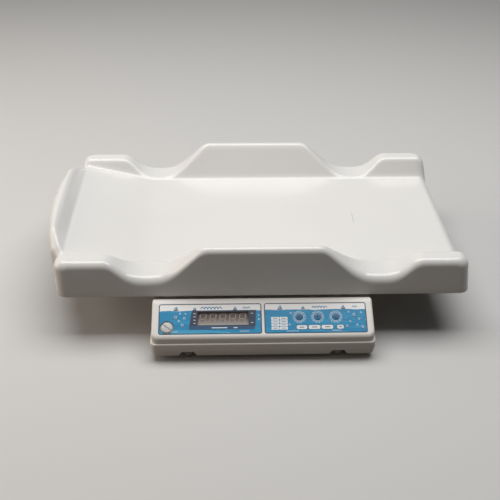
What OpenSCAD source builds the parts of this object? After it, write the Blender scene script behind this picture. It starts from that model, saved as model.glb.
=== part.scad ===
// Baby weighing scale: a cradle tray rests on a sprung platform above a housing with a sloping
// console. Millimetres. Z = 0 is the table, +X runs along the tray to its open foot end,
// and -Y is the console side. The origin is the middle of the scale's footprint.

/* [Tray] */
// Length of the tray over the rims of its end blocks, without the bow of its head wall
tray_length = 538; // [520:1:556]
// Width of the tray over the rims of its end blocks
tray_width = 320; // [312:1:330]
// How far the middle of the head wall bows out
head_bow = 22.5; // [16:0.5:26]
// Height of the skirt's lower edge above the table
skirt_z = 62; // [62:0.5:66]
// Rim of the two middle guards, above the skirt's lower edge
guard_rise = 69; // [62:0.5:74]
// Rim of the four end blocks, above the skirt's lower edge
block_rise = 50; // [46:0.5:54]
// Rim in the four dips, above the skirt's lower edge
dip_rise = 25; // [24:0.5:28]
// Floor of the tray, above the skirt's lower edge
floor_rise = 23; // [22:0.5:24]
// Crest of the head wall, above the skirt's lower edge
crest_rise = 63; // [58:0.5:66]
// Slope of the ramp under the head
ramp_angle = 10.3; // [8:0.1:11]
// Thickness of the tray's sheet
tray_skin = 4; // [3:0.5:4]

/* [Housing] */
// Width of the lower case
case_width = 290; // [286:1:300]
// From the tray's middle line to the front of the lower case
console_reach = 218.5; // [217:0.5:222]
// From the tray's middle line to the back of the lower case
case_back = 109; // [108:1:116]
// Gap between the table and the lower case
case_gap = 7; // [7:0.5:7.5]
// Height at which the two case halves meet
split_z = 27; // [27:0.5:28]
// Top of the low deck under the tray
deck_z = 53; // [53:0.5:54]
// Top of the console's rear lip
lip_z = 61.2; // [60.5:0.1:61.4]
// Wall of the moulded case halves
case_wall = 2.5; // [2.2:0.1:2.6]

/* [Console] */
// Slope of the console's panel
panel_angle = 30; // [28:0.5:31]
// Length of the printed labels up the slope
label_length = 42.3; // [41:0.1:42.4]
// Thickness of the printed labels
label_film = 0.4; // [0.3:0.1:0.5]
// Radius of a key
key_radius = 4.7; // [4.4:0.1:4.8]
// Radius of the slotted plug
plug_radius = 7; // [6.6:0.1:7.2]

/* [Feet] */
// Sideways distance of the feet from the middle
foot_x = 97; // [96:0.5:99]
// Radius of a foot's ribbed knob
knob_radius = 6.5; // [6:0.1:6.6]
// Radius of a foot's threaded stem
stem_radius = 4; // [4:0.1:4.2]

/* [Hidden] */
$fn = 64;

// Tray sheet
half_length = tray_length / 2;
half_width = tray_width / 2;
skirt_skin = 3.5;       // thickness of the upright skirt
foot_flare = 6;         // how far the skirt leans out at the foot, below the blocks' rim
side_flare = 2.5;       // and along both sides
rim_round = 8;          // rounding from a guard's rim to the skirt
round_gain = 0.09;      // how much rounder the rim is for each millimetre that it dips
end_round = 12;         // rounding at both ends
end_reach = 34;         // length over which the rim takes up that rounding
plan_corner = 14;       // plan corners at both ends
rim_shift = 1.5;        // the rim's pattern sits this far towards the foot
guard_half = 103;       // where the rim is half way down from a guard
block_half = 185.5;     // where the rim is half way up to a block
dip_middle = 152.5;     // middle of a dip
guard_slope = 0.9;      // steepest slope beside a guard
block_slope = 0.84;     // steepest slope beside a block
side_slope = 1.47;      // rise over run of the inner side walls
side_foot = 116.7;      // where the side walls meet the floor
head_slope = 1.57;      // rise over run of the head wall's straight inner face
head_face_x = 262.5;    // where the head wall's face reaches head_face_rise
head_face_rise = 42;
crest_half = 86;        // where the head wall's crest starts to fall
crest_slope = 0.62;     // slope of the crest beside that
bow_half = 150;         // half the width of the bow's curve
bow_edge = 124;         // where the bow has faded out beside the head wall
bow_fade = 14;          // run of that fading
bow_start = 150;        // the plan starts to bend this far towards the head
bow_run = 85;           // and is fully bent after this run
shoulder = 7;           // blend at the rim's upper bends
guard_foot = 18;        // blend at the foot of a guard's slope
block_foot = 12;        // blend at the foot of a block's slope
floor_blend = 8;        // blend between the floor and the side walls
wall_blend = 6;         // blend at the upper bends of the walls
crease = 2;             // blend at the foot of the head wall and of the ramp
ramp_x = 159;           // where the head ramp starts
block_z = skirt_z + block_rise;
foot_lean = foot_flare / (block_rise * half_length);
side_lean = side_flare / (block_rise * half_width);

// The tray's middle, from the middle of the footprint
tray_x = (head_bow - foot_flare) / 2;
tray_y = (console_reach - half_width - side_flare) / 2;

// Console panel: its lower label edge, in the upright plane across the console
panel_y = 6.3 - console_reach;
panel_z = 38.2;
cover_step = 2;         // how far the lower case stands out past the cover
band_height = 8.3;      // the lower case's foot band
band_groove = 1;        // upright strip above the band's slant
band_in = 1.8;          // how far in the band's lower edge stands
notch_top = 14;         // finger notches before the front feet
notch_half = 7.8;       // half their width at the top
notch_foot = 11.2;      // and at the band's lower edge
label_gap = 1.6;        // half of the white gap between the labels
label_edge = 134;       // outer end of both labels
digit_pitch = 12.7;
digit_middle = [-51.4, 22.2];
window_low = [-84, 12.5];
window_high = [-18.6, 31];
key_spots = [[46.8, 22.5], [70.5, 22.5], [94.1, 22.5]];
plug_spot = [-123, 9.8];
lamp_spots = [[-89, 28], [-89, 22], [-89, 16], [-13.5, 28], [-13.5, 16]];
board_w = -11;          // front face of the panel board, below the panel's face
panel_posts = [[-102, 36], [-102, 12], [0, 36], [106, 36], [106, 12]];

// Housing stack
floor_z = case_gap + case_wall;
plate_z = 16;
insert_radius = 6.5;    // threaded inserts, and their flange over the plate
flange_radius = 8.5;
plate_top = 19;
cell_z = plate_top + 3;
cell_top = cell_z + 22;
cell_end = 65;
cell_half = 15;         // half the load cell's width
free_end = 50;          // middle of its two screws at each end
bolt_gap = 8;           // from that middle to each screw
arm_reach = [105, 75];
arm_top = 72;
hub_z = 60;             // underside of the spider's hub and arms
cup_depth = 7.5;        // locating cups under the tray
cup_radius = 15;
cup_bore = 11.5;
pad_top = skirt_z + floor_rise - tray_skin;
pad_height = 2.4;       // a foot's rubber pad
knob_top = 9;           // its knob, up to the threaded stem
nose_z = 1;             // and the knob's nose in the pad
nose_radius = 2.2;
foot_y = [14 - console_reach, case_back - 24];
foot_spots = [[-foot_x, foot_y[0]], [foot_x, foot_y[0]], [-foot_x, foot_y[1]], [foot_x, foot_y[1]]];
screw_spots = [[-135, 14.5 - console_reach], [0, 14.5 - console_reach], [135, 14.5 - console_reach],
    [-135, case_back - 14], [135, case_back - 14]];
main_board_z = 30;
main_posts = [[-34, 50], [-34, 94], [70, 50], [70, 94]];
inlet_x = 40;
inlet_z = main_board_z + 7;

// ---------- shared shapes ----------

// Everything is drawn about the tray's middle, on the table
module placed() {
    translate([tray_x, tray_y, 0]) children();
}

// The panel's own frame: x across, y up the slope, z out of the panel
module on_panel() {
    translate([0, panel_y, panel_z]) rotate([panel_angle, 0, 0]) children();
}

// Rectangle with round corners, from one corner to the other
module rounded(low, high, r) {
    translate([low[0] + r, low[1]]) square([high[0] - low[0] - 2 * r, high[1] - low[1]]);
    translate([low[0], low[1] + r]) square([high[0] - low[0], high[1] - low[1] - 2 * r]);
    for (x = [low[0] + r, high[0] - r])
        for (y = [low[1] + r, high[1] - r])
            translate([x, y]) circle(r);
}

// Upright slab with round plan corners
module slab(low, high, r) {
    translate([0, 0, low[2]])
        linear_extrude(height = high[2] - low[2])
            rounded([low[0], low[1]], [high[0], high[1]], r);
}

module rod(spot, z_low, z_high, r) {
    translate([spot[0], spot[1], z_low]) cylinder(h = z_high - z_low, r = r);
}

// A side view (y, z), drawn out across the width
module across(width, outline) {
    translate([-width / 2, 0, 0]) rotate([90, 0, 90]) linear_extrude(height = width) polygon(outline);
}

// ---------- tray ----------

function soft_max(a, b, k) = max(a, b) + pow(max(k - abs(a - b), 0), 2) / (4 * k);
function soft_min(a, b, k) = min(a, b) - pow(max(k - abs(a - b), 0), 2) / (4 * k);
function smooth(t) = let (u = min(max(t, 0), 1)) u * u * (3 - 2 * u);

// Rim along a side: guard, dip and block, joined by slopes with round feet and shoulders
function guard_side(s) =
    soft_max(dip_rise, (guard_rise + dip_rise) / 2 - guard_slope * (s - guard_half), guard_foot);
function block_side(s) =
    soft_max(dip_rise, (block_rise + dip_rise) / 2 + block_slope * (s - block_half), block_foot);
function rim_rise(x) =
    let (s = abs(x - rim_shift))
    s < dip_middle ? soft_min(guard_rise, guard_side(s), shoulder)
        : soft_min(block_rise, block_side(s), shoulder);

// Surface heights above the skirt's edge, at a point of the plan
function bow_at(y) =
    head_bow * (1 - pow(y / bow_half, 2)) * smooth((bow_edge - abs(y)) / bow_fade);
function floor_at(x) = soft_max(floor_rise, floor_rise - tan(ramp_angle) * (x + ramp_x), crease);
function side_at(x, y) =
    soft_min(rim_rise(x), floor_rise + side_slope * (abs(y) - side_foot), wall_blend);
function crest_at(y) =
    soft_min(crest_rise, crest_rise - crest_slope * (abs(y) - crest_half), shoulder);
function head_at(x, y) =
    soft_min(crest_at(y), head_face_rise - head_slope * (x + head_face_x), wall_blend);
function sheet_rise(x, y) =
    soft_max(soft_max(floor_at(x), head_at(x, y), crease), side_at(x, y), floor_blend);
function round_at(x) = max(rim_round + round_gain * (guard_rise - rim_rise(x)),
    end_round * smooth((abs(x) - half_length + end_reach) / (end_reach - end_round)));

// Plan outline: a rectangle with round corners, inset by t, whose head end is then bowed
function width_at(x, t) =
    let (r = plan_corner - t, q = abs(x) - (half_length - t - r))
    half_width - t - (q > 0 ? r - sqrt(max(r * r - q * q, 0)) : 0);
function gap_at(x, y, t) =
    let (r = plan_corner - t,
        qx = abs(x) - (half_length - t - r),
        qy = abs(y) - (half_width - t - r))
    qx > 0 && qy > 0 ? r - norm([qx, qy])
        : min(half_length - t - abs(x), half_width - t - abs(y));
function edge_drop(gap, r) = gap >= r ? 0 : r - sqrt(max(r * r - pow(r - max(gap, 0), 2), 0));

edge_steps = [for (a = [0 : 22.5 : 90]) end_round * (1 - cos(a))];
head_steps = concat(edge_steps, [14, 16, 18, 21, 24, 27.5, 31, 36, 46]);
foot_steps = concat(edge_steps, [16, 22, 32, 44]);
side_steps = concat(edge_steps, [14.5, 18, 24, 28, 32, 36, 40, 44, 48, 52, 60, 74, 100]);
curve_steps = [212 : -9 : 68];
stations = concat([for (d = head_steps) d - half_length], [for (s = curve_steps) rim_shift - s],
    [0], [for (s = [68 : 9 : 212]) rim_shift + s],
    [for (i = [len(foot_steps) - 1 : -1 : 0]) half_length - foot_steps[i]]);
rows = concat([for (d = side_steps) d - half_width], [0],
    [for (i = [len(side_steps) - 1 : -1 : 0]) half_width - side_steps[i]]);

function plan_x(x, y) = x - bow_at(y) * smooth((-x - bow_start) / bow_run);
function sheet_point(x0, y0, t, skin) =
    let (x = x0 * (half_length - t) / half_length,
        y = y0 / half_width * width_at(x, t),
        px = plan_x(x, y))
    leant([px, y, skirt_z + sheet_rise(px, y) - skin - edge_drop(gap_at(x, y, t), round_at(x) - t)]);

// The sheet leans out below the blocks' rim, along both sides and at the foot
function leant(p) =
    [p[0] * (1 + (p[0] > 0 ? foot_lean : 0) * (block_z - p[2])),
        p[1] * (1 + side_lean * (block_z - p[2])), p[2]];
function upright(p) =
    [p[0] / (1 + (p[0] > 0 ? foot_lean : 0) * (block_z - p[2])),
        p[1] / (1 + side_lean * (block_z - p[2]))];
function skirt_point(p) = leant(concat(upright(p), skirt_z));

module tray() {
    nx = len(stations);
    ny = len(rows);
    top = [for (x = stations) for (y = rows) sheet_point(x, y, 0, 0)];
    under = [for (x = stations) for (y = rows) sheet_point(x, y, skirt_skin, tray_skin)];
    loop = concat([for (i = [0 : nx - 1]) i * ny], [for (j = [1 : ny - 1]) (nx - 1) * ny + j],
        [for (i = [nx - 2 : -1 : 0]) i * ny + ny - 1], [for (j = [ny - 2 : -1 : 1]) j]);
    nl = len(loop);
    foot_out = [for (k = loop) skirt_point(top[k])];
    foot_in = [for (k = loop) skirt_point(under[k])];
    u0 = nx * ny;
    out0 = 2 * u0;
    in0 = out0 + nl;
    sheet = [for (i = [0 : nx - 2]) for (j = [0 : ny - 2])
        let (a = i * ny + j, b = a + ny, c = b + 1, d = a + 1)
        each [[a, c, b], [a, d, c]]];
    inner = [for (f = sheet) [f[0] + u0, f[2] + u0, f[1] + u0]];
    walls = [for (k = [0 : nl - 1])
        let (m = (k + 1) % nl, a = loop[k], b = loop[m])
        each [[a, b, out0 + m], [a, out0 + m, out0 + k],
            [out0 + k, out0 + m, in0 + m], [out0 + k, in0 + m, in0 + k],
            [in0 + k, in0 + m, u0 + b], [in0 + k, u0 + b, u0 + a]]];
    color("#f4f3f0") placed()
        polyhedron(points = concat(top, under, foot_out, foot_in),
            faces = concat(sheet, inner, walls), convexity = 8);
}

// Locating cups bonded under the tray, open downwards over the rubber pads
module tray_sockets() {
    color("#ecebe7") placed()
        for (x = [-arm_reach[0], arm_reach[0]])
            for (y = [-arm_reach[1], arm_reach[1]])
                difference() {
                    rod([x, y], pad_top - cup_depth, pad_top, cup_radius);
                    rod([x, y], pad_top - cup_depth - 1, pad_top + 1, cup_bore);
                }
}

// ---------- platform ----------

// Cast cross: a hub, four channelled arms and a boss down to the load cell's free end
module platform_spider() {
    angle = atan(arm_reach[1] / arm_reach[0]);
    reach = norm(arm_reach);
    color("#a9acae") placed() difference() {
        union() {
            slab([-38, -34, hub_z], [78, 34, arm_top], 12);
            rod([free_end, 0], cell_top + 2, arm_top, 16);
            for (a = [angle, 180 - angle, 180 + angle, -angle])
                rotate([0, 0, a]) {
                    translate([0, -12, hub_z]) cube([reach - 12, 24, arm_top - hub_z]);
                    rod([reach, 0], 64, arm_top, 14);
                }
        }
        for (a = [angle, 180 - angle, 180 + angle, -angle])
            rotate([0, 0, a]) {
                translate([44, -8, hub_z - 1]) cube([reach - 62, 16, 8]);
                rod([reach, 0], hub_z - 1, arm_top + 1, 4);
            }
        for (x = [free_end - bolt_gap, free_end + bolt_gap]) {
            rod([x, 0], cell_top, arm_top + 1, 3.2);
            rod([x, 0], arm_top - 6, arm_top + 1, 5.5);
        }
    }
}

// Rubber buttons pushed through the arm ends
module platform_pads() {
    color("#3a3a3c") placed()
        for (x = [-arm_reach[0], arm_reach[0]])
            for (y = [-arm_reach[1], arm_reach[1]])
                translate([x, y, 0]) rotate_extrude()
                    polygon([[0, 62.5], [4.2, 62.5], [5, 64], [4, 64], [4, arm_top], [10, arm_top],
                        [10, pad_top - 1], [9, pad_top], [0, pad_top]]);
}

module cap_screw(spot, z_tip, z_seat, r, head_r, head_h) {
    rod(spot, z_tip, z_seat, r);
    difference() {
        rod(spot, z_seat, z_seat + head_h, head_r);
        translate([spot[0], spot[1], z_seat + head_h / 2]) cylinder(h = head_h, r = head_r / 2, $fn = 6);
    }
}

// Two long screws hold the spider on the free end
module platform_screws() {
    color("#8f9294") placed()
        for (x = [free_end - bolt_gap, free_end + bolt_gap])
            cap_screw([x, 0], cell_top - 10, arm_top - 6, 3, 5, 5.5);
}

module cell_top_spacer() {
    color("#c3c5c6") placed() difference() {
        translate([cell_end - 2 * cell_half, -cell_half, cell_top])
            cube([2 * cell_half, 2 * cell_half, 2]);
        for (x = [free_end - bolt_gap, free_end + bolt_gap])
            rod([x, 0], cell_top - 1, cell_top + 3, 3.2);
    }
}

// Bending beam with its double bore and four tapped holes
module load_cell() {
    color("#b9bcbe") placed() difference() {
        translate([-cell_end, -cell_half, cell_z])
            cube([2 * cell_end, 2 * cell_half, cell_top - cell_z]);
        for (x = [-15, 15])
            translate([x, 16, (cell_z + cell_top) / 2]) rotate([90, 0, 0]) cylinder(h = 32, r = 8.5);
        translate([-15, -16, (cell_z + cell_top) / 2 - 3]) cube([30, 32, 6]);
        for (x = [free_end - bolt_gap, free_end + bolt_gap])
            rod([x, 0], cell_top - 12, cell_top + 1, 3);
        for (x = [-free_end - bolt_gap, -free_end + bolt_gap])
            rod([x, 0], cell_z - 1, cell_z + 13, 3);
    }
}

module cell_base_spacer() {
    color("#9fa1a3") placed() difference() {
        translate([-cell_end, -cell_half, plate_top])
            cube([2 * cell_half, 2 * cell_half, cell_z - plate_top]);
        for (x = [-free_end - bolt_gap, -free_end + bolt_gap])
            rod([x, 0], plate_top - 1, cell_z + 1, 3.2);
    }
}

// Screws from under the plate into the fixed end
module cell_base_screws() {
    color("#8f9294") placed()
        for (x = [-free_end - bolt_gap, -free_end + bolt_gap]) {
            rod([x, 0], plate_z, cell_z + 12, 3);
            rod([x, 0], plate_z - 4, plate_z, 5);
        }
}

// Stop screw with its lock nut, just clear of the free end
module overload_stop() {
    color("#7d8083") placed() {
        rod([free_end, 0], floor_z + 0.5, cell_z - 0.7, 3);
        translate([free_end, 0, plate_z - 4.5]) difference() {
            cylinder(h = 4.5, r = 5.8, $fn = 6);
            translate([0, 0, -1]) cylinder(h = 7, r = 3);
        }
    }
}

// ---------- housing ----------

// Steel plate shaped like an H: two straps over the feet and a web under the load cell
module base_plate() {
    color("#8b8e90") placed() difference() {
        union() {
            for (x = [-foot_x, foot_x])
                slab([x - 20, foot_y[0] - flange_radius, plate_z],
                    [x + 20, foot_y[1] + 14, plate_top], 6);
            translate([-foot_x, -38, plate_z]) cube([2 * foot_x, 76, plate_top - plate_z]);
        }
        for (p = foot_spots) rod(p, plate_z - 1, plate_top + 1, insert_radius);
        for (x = [-free_end - bolt_gap, -free_end + bolt_gap])
            rod([x, 0], plate_z - 1, plate_top + 1, 3.2);
        rod([free_end, 0], plate_z - 1, plate_top + 1, 3);
    }
}

// Threaded inserts that clamp the plate and carry the feet
module foot_inserts() {
    color("#b79a5a") placed()
        for (p = foot_spots)
            difference() {
                union() {
                    rod(p, 13.5, plate_top, insert_radius);
                    rod(p, plate_top, plate_top + 3, flange_radius);
                }
                rod(p, 12.5, plate_top + 4, stem_radius + 0.08);
            }
}

// Side view of the lower case: ledge, upright face, groove and foot band
function case_side(front, back) =
    let (step_z = case_gap + band_height, groove = step_z - band_groove)
    [[front + band_in, case_gap], [front + 1, groove], [front + 1, step_z], [front, step_z],
        [front, split_z - 1], [front + 1, split_z], [back - 1, split_z], [back, split_z - 1],
        [back, step_z], [back - 1, step_z], [back - 1, groove], [back - band_in, case_gap]];

module lower_case() {
    half = case_width / 2;
    color("#dedad1") placed() difference() {
        union() {
            difference() {
                intersection() {
                    slab([-half, -console_reach, case_gap], [half, case_back, split_z], 8);
                    across(case_width, case_side(-console_reach, case_back));
                    rotate([0, 0, 90]) translate([(case_back - console_reach) / 2, 0, 0])
                        across(case_back + console_reach, case_side(-half, half));
                }
                slab([case_wall - half + 2, case_wall + 2 - console_reach, floor_z],
                    [half - case_wall - 2, case_back - case_wall - 2, split_z + 1], 5);
            }
            for (p = foot_spots) rod(p, case_gap, plate_z, 12);
            for (p = screw_spots) rod(p, case_gap, split_z, 5);
            for (p = main_posts) rod(p, case_gap, main_board_z, 3.5);
        }
        for (p = foot_spots) {
            rod(p, case_gap - 1, 13.5, 9);
            rod(p, case_gap, plate_z + 1, insert_radius);
        }
        for (p = screw_spots) {
            rod(p, case_gap - 1, 12, 4.2);
            rod(p, 11, split_z + 1, 2.1);
        }
        for (p = main_posts) rod(p, main_board_z - 8, main_board_z + 1, 1.3);
        // finger notches in front of the two front feet
        for (x = [-foot_x, foot_x])
            translate([x, foot_y[0], 0]) rotate([90, 0, 0])
                linear_extrude(height = 30)
                    polygon([[-notch_foot, case_gap - 1], [-notch_foot, case_gap],
                        [-notch_half, notch_top], [notch_half, notch_top],
                        [notch_foot, case_gap], [notch_foot, case_gap - 1]]);
    }
}

// Side view of the upper cover, inset by t: front, sloping panel, rear lip, bevel and deck
function cover_side(t) =
    let (front = cover_step - console_reach + t,
        back = case_back - cover_step - t,
        low = t > 0 ? split_z - 1 : split_z,
        drop = t / cos(panel_angle),
        slope_start = panel_z + (front - panel_y) * tan(panel_angle) - drop,
        top = lip_z - t,
        slope_end = panel_y + (top + drop - panel_z) / tan(panel_angle),
        lip_back = -166.7 - 0.414 * t)
    [[front, low], [front, slope_start], [slope_end, top], [lip_back, top],
        [lip_back + lip_z - deck_z, deck_z - t], [back, deck_z - t], [back, low]];

module cover_form(t) {
    half = case_width / 2 - cover_step - t;
    intersection() {
        slab([-half, cover_step - console_reach + t, split_z - (t > 0 ? 1 : 0)],
            [half, case_back - cover_step - t, lip_z + 1], 8 - t);
        across(case_width, cover_side(t));
    }
}

module upper_cover() {
    color("#e9e6df") placed() difference() {
        union() {
            difference() {
                cover_form(0);
                cover_form(case_wall);
            }
            intersection() {
                cover_form(0);
                for (p = screw_spots) rod(p, split_z, lip_z, 4.2);
            }
            on_panel() {
                for (p = panel_posts) rod(p, board_w, -1, 3);
                rod(plug_spot, -8, -1, 5.5);
            }
        }
        for (p = screw_spots) rod(p, split_z - 1, 37, 2);
        rod([free_end, 0], deck_z - 5, deck_z + 1, 20);
        translate([inlet_x, case_back - 8, inlet_z]) rotate([-90, 0, 0]) cylinder(h = 10, r = 4.2);
        on_panel() {
            for (side = [[-label_edge, -label_gap], [label_gap, label_edge]])
                slab([side[0], 0, -label_film], [side[1], label_length, 1], 3);
            translate([window_low[0] - 1.5, window_low[1] - 1.5, -4])
                cube([window_high[0] - window_low[0] + 3, window_high[1] - window_low[1] + 3, 5]);
            for (p = key_spots) rod(p, -4, 1, key_radius + 0.3);
            for (p = lamp_spots) rod(p, -4, 1, 1.6);
            for (p = panel_posts) rod(p, board_w - 1, -3, 1.2);
            rod(plug_spot, -9, 1, 4.2);
            rod(plug_spot, -1.7, 1, plug_radius + 1.2);
        }
    }
}

// ---------- console ----------

module label(low, high) {
    slab([low[0], low[1], -label_film], [high[0], high[1], 0], 3);
}

module overlay_left() {
    color("#1b86b8") placed() on_panel() difference() {
        label([-label_edge, 0], [-label_gap, label_length]);
        translate([window_low[0], window_low[1], -1])
            cube([window_high[0] - window_low[0], window_high[1] - window_low[1], 2]);
        rod(plug_spot, -1, 1, plug_radius + 1.2);
    }
}

module overlay_right() {
    color("#1b86b8") placed() on_panel() difference() {
        label([label_gap, 0], [label_edge, label_length]);
        for (p = key_spots) rod(p, -1, 1, key_radius + 0.3);
    }
}

// Smoke-tinted lens behind the label's opening
module display_window() {
    color("#6b625e", 0.5) placed() on_panel()
        translate([window_low[0] - 1.4, window_low[1] - 1.4, -2.4])
            cube([window_high[0] - window_low[0] + 2.8, window_high[1] - window_low[1] + 2.8, 2]);
}

// Five digit blocks, each with its ten pins into the board
module led_digits() {
    color("#8c827c") placed() on_panel()
        for (k = [-2 : 2])
            translate([digit_middle[0] + k * digit_pitch, digit_middle[1], 0]) {
                translate([-6.25, -9.5, board_w + 0.4]) cube([12.5, 19, 7.6]);
                for (px = [-2 : 2])
                    for (py = [-7.6, 7.6])
                        translate([px * 2.2 - 0.25, py - 0.25, board_w - 2.4]) cube([0.5, 0.5, 3]);
            }
}

module status_lamps() {
    color("#c8463c") placed() on_panel()
        for (p = lamp_spots) {
            rod(p, board_w, -1.2, 1.5);
            rod(p, board_w, board_w + 1, 1.9);
        }
}

module panel_board() {
    color("#2f6b46") placed() on_panel() difference() {
        slab([-108, 9, board_w - 1.6], [112, 40, board_w], 2);
        for (p = panel_posts) rod(p, board_w - 2, board_w + 1, 1.4);
        for (k = [-2 : 2])
            for (px = [-2 : 2])
                for (py = [-7.6, 7.6])
                    translate([digit_middle[0] + k * digit_pitch + px * 2.2 - 0.3,
                        digit_middle[1] + py - 0.3, board_w - 2]) cube([0.6, 0.6, 3]);
    }
}

module key_switches() {
    color("#2b2b2d") placed() on_panel()
        for (p = key_spots)
            difference() {
                translate([p[0] - 3, p[1] - 3, board_w]) cube([6, 6, 3.8]);
                rod(p, board_w + 1.6, board_w + 5, 1.9);
            }
}

// Low round key with its retaining flange and stem
module key_cap(spot) {
    color("#16324f") placed() on_panel() {
        translate([spot[0], spot[1], 0]) rotate_extrude()
            polygon([[0, -6.6], [1.6, -6.6], [1.6, -3.7], [6.2, -3.7], [6.2, -case_wall],
                [key_radius, -case_wall], [key_radius, 0.2], [key_radius - 0.4, 0.5], [0, 0.5]]);
    }
}

module key_plunger(spot) {
    color("#d8d4c8") placed() on_panel() rod(spot, -8.5, -6.6, 1.75);
}

module key_cap_1() { key_cap(key_spots[0]); }
module key_cap_2() { key_cap(key_spots[1]); }
module key_cap_3() { key_cap(key_spots[2]); }
module key_plunger_1() { key_plunger(key_spots[0]); }
module key_plunger_2() { key_plunger(key_spots[1]); }
module key_plunger_3() { key_plunger(key_spots[2]); }

// Round plug with a coin slot
module seal_plug() {
    color("#d9dad6") placed() on_panel() translate([plug_spot[0], plug_spot[1], 0]) difference() {
        rotate_extrude()
            polygon([[0, -9.5], [4.1, -9.5], [4.1, -1.6], [plug_radius, -1.6], [plug_radius, 0.1],
                [plug_radius - 0.8, 0.8], [0, 0.8]]);
        rotate([0, 0, -38]) translate([-plug_radius - 1, -0.9, -0.4])
            cube([2 * plug_radius + 2, 1.8, 2]);
    }
}

// ---------- electronics ----------

module main_board() {
    color("#2f6b46") placed() difference() {
        slab([-40, 45, main_board_z], [104, 99, main_board_z + 1.6], 2);
        for (p = main_posts) rod(p, main_board_z - 1, main_board_z + 3, 1.5);
    }
}

// Chips, capacitors, a cooling plate and the lead headers
module board_parts() {
    top = main_board_z + 1.6;
    color("#2d2e31") placed() {
        translate([-6, 64, top]) cube([14, 14, 2]);
        translate([20, 58, top]) cube([18, 8, 2.4]);
        translate([-38, 55, top]) cube([9, 10, 6]);
        translate([82, 48, top]) cube([20, 6, 6]);
        translate([54, 72, top]) cube([3, 18, 16]);
        for (p = [[20, 84], [31, 84], [64, 62]]) rod(p, top, top + 11, 4);
        on_panel() translate([81, 28, board_w - 5.6]) cube([22, 5, 4]);
    }
}

// Adapter socket on the board's rear edge, its nose in the cover's rear wall
module power_inlet() {
    nose = case_back - cover_step;
    color("#1d1d1f") placed() {
        difference() {
            union() {
                translate([inlet_x - 4.5, nose - case_wall - 12, main_board_z + 1.6]) cube([9, 12, 11]);
                translate([inlet_x, nose - case_wall - 1, inlet_z]) rotate([-90, 0, 0])
                    cylinder(h = case_wall + 1.2, r = 4);
            }
            translate([inlet_x, nose - 9, inlet_z]) rotate([-90, 0, 0]) cylinder(h = 12, r = 2.75);
        }
        translate([inlet_x, nose - 10, inlet_z]) rotate([-90, 0, 0]) cylinder(h = 9, r = 1.05);
    }
}

// Shielded lead from the fixed end of the load cell to its header on the main board
module cell_lead() {
    lead_z = main_board_z + 3.8;
    bend = 8;
    left = -cell_end - 10;
    color("#55585c") placed() translate([0, 0, lead_z]) {
        translate([left, 0, 0]) rotate([0, 90, 0]) cylinder(h = 10, r = 2);
        translate([left, bend, 0]) rotate([0, 0, 180]) rotate_extrude(angle = 90)
            translate([bend, 0]) circle(2);
        translate([left - bend, bend, 0]) rotate([-90, 0, 0]) cylinder(h = 60 - 2 * bend, r = 2);
        translate([left, 60 - bend, 0]) rotate([0, 0, 90]) rotate_extrude(angle = 90)
            translate([bend, 0]) circle(2);
        translate([left, 60, 0]) rotate([0, 90, 0]) cylinder(h = -38 - left, r = 2);
    }
}

// Flat ribbon from the main board forward to the back of the panel board
module panel_ribbon() {
    route = [[48, 36], [40, 36], [34, 30], [-158, 30], [-172, 35.8], [-177.5, 38.2]];
    film = 0.8;
    color("#9aa0a6") placed() translate([92, 0, 0])
        across(18, concat(route, [for (i = [len(route) - 1 : -1 : 0]) route[i] + [0, film]]));
}

// ---------- fasteners ----------

module case_screws() {
    color("#8f9294") placed()
        for (p = screw_spots) {
            rod(p, 12, 36, 2);
            rod(p, 9.5, 12, 3.8);
        }
}

module board_screws() {
    color("#8f9294") placed() {
        on_panel()
            for (p = panel_posts) {
                rod(p, board_w - 1.6, -4, 1.2);
                rod(p, board_w - 3.2, board_w - 1.6, 2.6);
            }
        for (p = main_posts) {
            rod(p, main_board_z - 6, main_board_z + 1.6, 1.3);
            rod(p, main_board_z + 1.6, main_board_z + 3.4, 2.8);
        }
    }
}

// ---------- feet ----------

// Threaded stem over a ribbed knob, whose nose turns in the pad
module foot_screw(spot) {
    color("#b9b6b0") placed() translate([spot[0], spot[1], 0]) difference() {
        union() {
            rod([0, 0], knob_top, 26, stem_radius);
            rod([0, 0], pad_height, knob_top, knob_radius);
            rod([0, 0], nose_z, pad_height, nose_radius);
        }
        for (a = [0 : 22.5 : 337.5])
            rotate([0, 0, a]) translate([knob_radius + 0.35, 0, pad_height - 1])
                cylinder(h = knob_top - pad_height + 2, r = 0.85, $fn = 24);
    }
}

module foot_pad(spot) {
    socket = nose_radius + 0.08;
    color("#8f8b86") placed() translate([spot[0], spot[1], 0]) rotate_extrude()
        polygon([[0, 0], [5.8, 0], [6.2, 0.5], [6.2, pad_height], [socket, pad_height],
            [socket, nose_z - 0.1], [0, nose_z - 0.1]]);
}

module foot_screw_1() { foot_screw(foot_spots[0]); }
module foot_screw_2() { foot_screw(foot_spots[1]); }
module foot_screw_3() { foot_screw(foot_spots[2]); }
module foot_screw_4() { foot_screw(foot_spots[3]); }
module foot_pad_1() { foot_pad(foot_spots[0]); }
module foot_pad_2() { foot_pad(foot_spots[1]); }
module foot_pad_3() { foot_pad(foot_spots[2]); }
module foot_pad_4() { foot_pad(foot_spots[3]); }

tray();
tray_sockets();
platform_spider();
platform_pads();
platform_screws();
cell_top_spacer();
load_cell();
cell_base_spacer();
cell_base_screws();
overload_stop();
base_plate();
foot_inserts();
lower_case();
upper_cover();
overlay_left();
overlay_right();
display_window();
led_digits();
status_lamps();
panel_board();
key_switches();
key_cap_1();
key_cap_2();
key_cap_3();
key_plunger_1();
key_plunger_2();
key_plunger_3();
seal_plug();
main_board();
board_parts();
power_inlet();
cell_lead();
panel_ribbon();
case_screws();
board_screws();
foot_screw_1();
foot_screw_2();
foot_screw_3();
foot_screw_4();
foot_pad_1();
foot_pad_2();
foot_pad_3();
foot_pad_4();
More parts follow.
